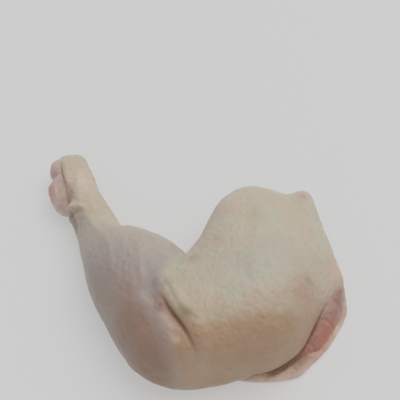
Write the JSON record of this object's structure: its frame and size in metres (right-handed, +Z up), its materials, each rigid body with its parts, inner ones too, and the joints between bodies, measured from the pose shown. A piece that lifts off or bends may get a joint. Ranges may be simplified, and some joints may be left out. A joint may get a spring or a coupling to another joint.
{
  "type": "raw chicken leg",
  "caption": "Raw chicken leg with skin on, drumstick and thigh in one piece bent at the knee, lying skin side up with the cut meat showing at the hip.",
  "frame": {"origin": "under the middle of the part's box, on the surface it rests on", "axes": "+Z up out of the skin side, +X from the ankle towards the hip, +Y away from the knee"},
  "size_m": [0.1442, 0.1264, 0.0463],
  "materials": {
    "skin": "raw chicken skin: moist, soft, pale grey-beige, lilac-grey where dark meat shows through on the drumstick",
    "meat": "cut raw dark meat: wet, dull red to purple-brown, fine grain",
    "cartilage": "moist cartilage of the ankle joint: pinkish grey, smooth"
  },
  "bodies": {
    "root": {"chicken_leg": "skin"}
  },
  "joints": []
}
